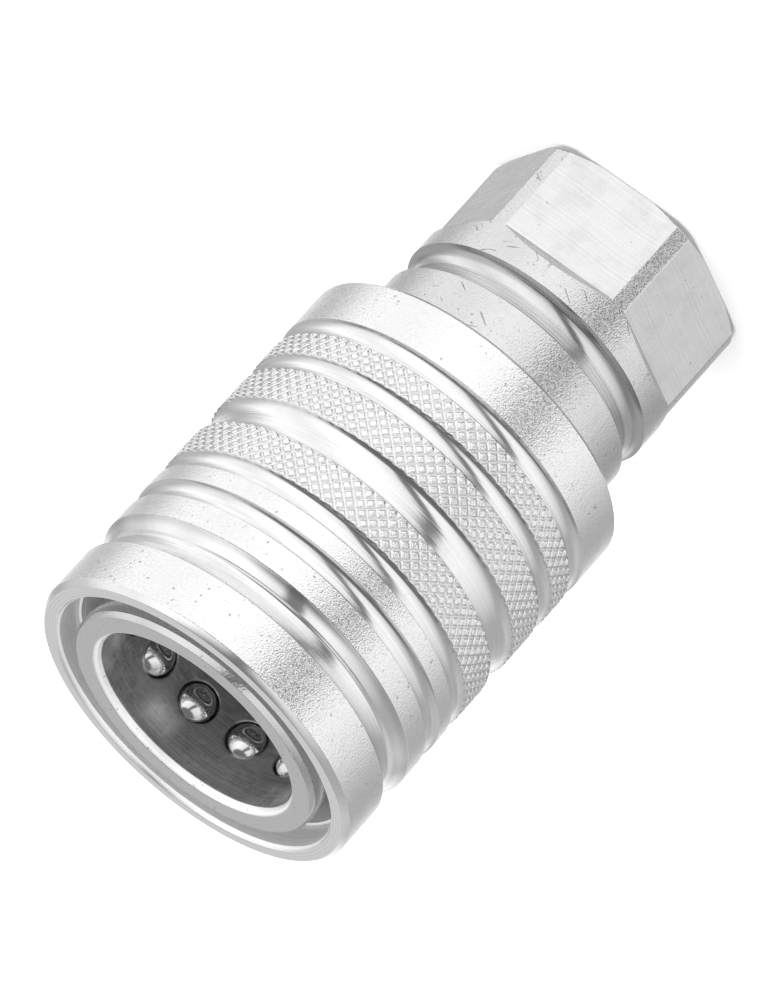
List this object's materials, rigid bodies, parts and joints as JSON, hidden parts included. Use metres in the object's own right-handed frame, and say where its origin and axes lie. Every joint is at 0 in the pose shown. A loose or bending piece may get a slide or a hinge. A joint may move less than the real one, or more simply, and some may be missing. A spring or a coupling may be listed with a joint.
{
  "type": "quick disconnect coupler",
  "caption": "Round steel hydraulic quick disconnect socket with a knurled sliding sleeve, ball lock, spring-loaded poppet valve and hexagonal threaded port.",
  "frame": {"origin": "centre of the end face around the threaded port, which the coupler stands on", "axes": "+Z along the flow axis from the threaded port towards the mouth; -Y out of one flat of the hexagon"},
  "size_m": [0.0384, 0.0384, 0.07],
  "materials": {
    "zinc_steel": "bright zinc plate, satin",
    "valve_steel": "turned steel, satin",
    "ball_steel": "polished bearing steel",
    "spring_steel": "drawn spring wire",
    "nitrile": "moulded rubber, satin",
    "ptfe": "smooth white plastic"
  },
  "bodies": {
    "body": {"socket_body": "zinc_steel", "rear_body": "zinc_steel", "probe_seal": "nitrile", "backup_ring": "ptfe", "body_seal": "nitrile", "valve_guide": "valve_steel", "sleeve_spring": "spring_steel", "poppet_spring": "spring_steel"},
    "sleeve_carrier": {"thrust_washer": "zinc_steel"},
    "sleeve": {"sleeve": "zinc_steel", "sleeve_guide_ring": "zinc_steel", "sleeve_snap_ring": "spring_steel"},
    "poppet": {"poppet": "valve_steel", "poppet_seal": "nitrile", "poppet_nose": "valve_steel"},
    "ball_01": {"ball_01": "ball_steel"},
    "ball_02": {"ball_02": "ball_steel"},
    "ball_03": {"ball_03": "ball_steel"},
    "ball_04": {"ball_04": "ball_steel"},
    "ball_05": {"ball_05": "ball_steel"},
    "ball_06": {"ball_06": "ball_steel"},
    "ball_07": {"ball_07": "ball_steel"},
    "ball_08": {"ball_08": "ball_steel"},
    "ball_09": {"ball_09": "ball_steel"},
    "ball_10": {"ball_10": "ball_steel"},
    "ball_11": {"ball_11": "ball_steel"},
    "ball_12": {"ball_12": "ball_steel"}
  },
  "joints": [
    {"name": "sleeve_slide", "type": "slide", "parent": "body", "child": "sleeve_carrier", "axis": [0, 0, -1], "range_m": [0, 0.006], "stiffness_N_per_m": 4000, "springref_m": -0.006, "deforming": ["sleeve_spring"]},
    {"name": "sleeve_spin", "type": "hinge", "parent": "sleeve_carrier", "child": "sleeve", "pos_m": [0, 0, 0.0478], "axis": [0, 0, 1], "continuous": true},
    {"name": "poppet_slide", "type": "slide", "parent": "body", "child": "poppet", "axis": [0, 0, -1], "range_m": [0, 0.006], "stiffness_N_per_m": 2500, "springref_m": -0.004, "deforming": ["poppet_spring"]},
    {"name": "ball_01_slide", "type": "slide", "parent": "body", "child": "ball_01", "axis": [0.9866, 0.1633, 0], "range_m": [0, 0.00112]},
    {"name": "ball_02_slide", "type": "slide", "parent": "body", "child": "ball_02", "axis": [0.7727, 0.6347, 0], "range_m": [0, 0.00112]},
    {"name": "ball_03_slide", "type": "slide", "parent": "body", "child": "ball_03", "axis": [0.3518, 0.9361, 0], "range_m": [0, 0.00112]},
    {"name": "ball_04_slide", "type": "slide", "parent": "body", "child": "ball_04", "axis": [-0.1633, 0.9866, 0], "range_m": [0, 0.00112]},
    {"name": "ball_05_slide", "type": "slide", "parent": "body", "child": "ball_05", "axis": [-0.6347, 0.7727, 0], "range_m": [0, 0.00112]},
    {"name": "ball_06_slide", "type": "slide", "parent": "body", "child": "ball_06", "axis": [-0.9361, 0.3518, 0], "range_m": [0, 0.00112]},
    {"name": "ball_07_slide", "type": "slide", "parent": "body", "child": "ball_07", "axis": [-0.9866, -0.1633, 0], "range_m": [0, 0.00112]},
    {"name": "ball_08_slide", "type": "slide", "parent": "body", "child": "ball_08", "axis": [-0.7727, -0.6347, 0], "range_m": [0, 0.00112]},
    {"name": "ball_09_slide", "type": "slide", "parent": "body", "child": "ball_09", "axis": [-0.3518, -0.9361, 0], "range_m": [0, 0.00112]},
    {"name": "ball_10_slide", "type": "slide", "parent": "body", "child": "ball_10", "axis": [0.1633, -0.9866, 0], "range_m": [0, 0.00112]},
    {"name": "ball_11_slide", "type": "slide", "parent": "body", "child": "ball_11", "axis": [0.6347, -0.7727, 0], "range_m": [0, 0.00112]},
    {"name": "ball_12_slide", "type": "slide", "parent": "body", "child": "ball_12", "axis": [0.9361, -0.3518, 0], "range_m": [0, 0.00112]}
  ],
  "couplings": [
    {"joint": "ball_01_slide", "follows": "sleeve_slide", "ratio": 0.18583},
    {"joint": "ball_02_slide", "follows": "sleeve_slide", "ratio": 0.18583},
    {"joint": "ball_03_slide", "follows": "sleeve_slide", "ratio": 0.18583},
    {"joint": "ball_04_slide", "follows": "sleeve_slide", "ratio": 0.18583},
    {"joint": "ball_05_slide", "follows": "sleeve_slide", "ratio": 0.18583},
    {"joint": "ball_06_slide", "follows": "sleeve_slide", "ratio": 0.18583},
    {"joint": "ball_07_slide", "follows": "sleeve_slide", "ratio": 0.18583},
    {"joint": "ball_08_slide", "follows": "sleeve_slide", "ratio": 0.18583},
    {"joint": "ball_09_slide", "follows": "sleeve_slide", "ratio": 0.18583},
    {"joint": "ball_10_slide", "follows": "sleeve_slide", "ratio": 0.18583},
    {"joint": "ball_11_slide", "follows": "sleeve_slide", "ratio": 0.18583},
    {"joint": "ball_12_slide", "follows": "sleeve_slide", "ratio": 0.18583}
  ]
}
